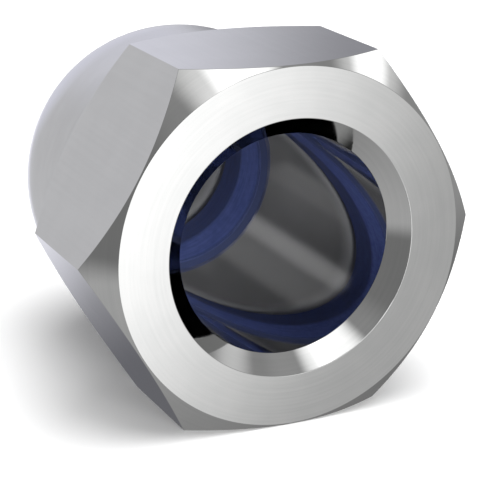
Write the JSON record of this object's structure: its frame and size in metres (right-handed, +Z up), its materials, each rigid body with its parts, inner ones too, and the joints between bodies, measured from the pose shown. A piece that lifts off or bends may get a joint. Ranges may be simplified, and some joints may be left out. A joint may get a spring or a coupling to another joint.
{
  "type": "self-locking cap nut",
  "caption": "Hexagon nut closed by a drawn dome cap, with a blue plastic locking ring held at the inner end of its threaded bore.",
  "frame": {"origin": "centre of the bearing face, on the thread's axis", "axes": "+Y along the thread's axis from the open mouth towards the dome, +Z up, square to the flat that the nut lies on, with corners of the hexagon on +X and -X"},
  "size_m": [0.0278, 0.0299, 0.024],
  "materials": {
    "body_steel": "bright turned steel, satin flats and a smooth bore",
    "ring_plastic": "moulded polyamide, dark blue, fine turned lines",
    "cap_steel": "bright drawn steel, smooth satin"
  },
  "bodies": {
    "root": {"nut_body": "body_steel", "locking_ring": "ring_plastic", "dome_cap": "cap_steel"}
  },
  "joints": []
}
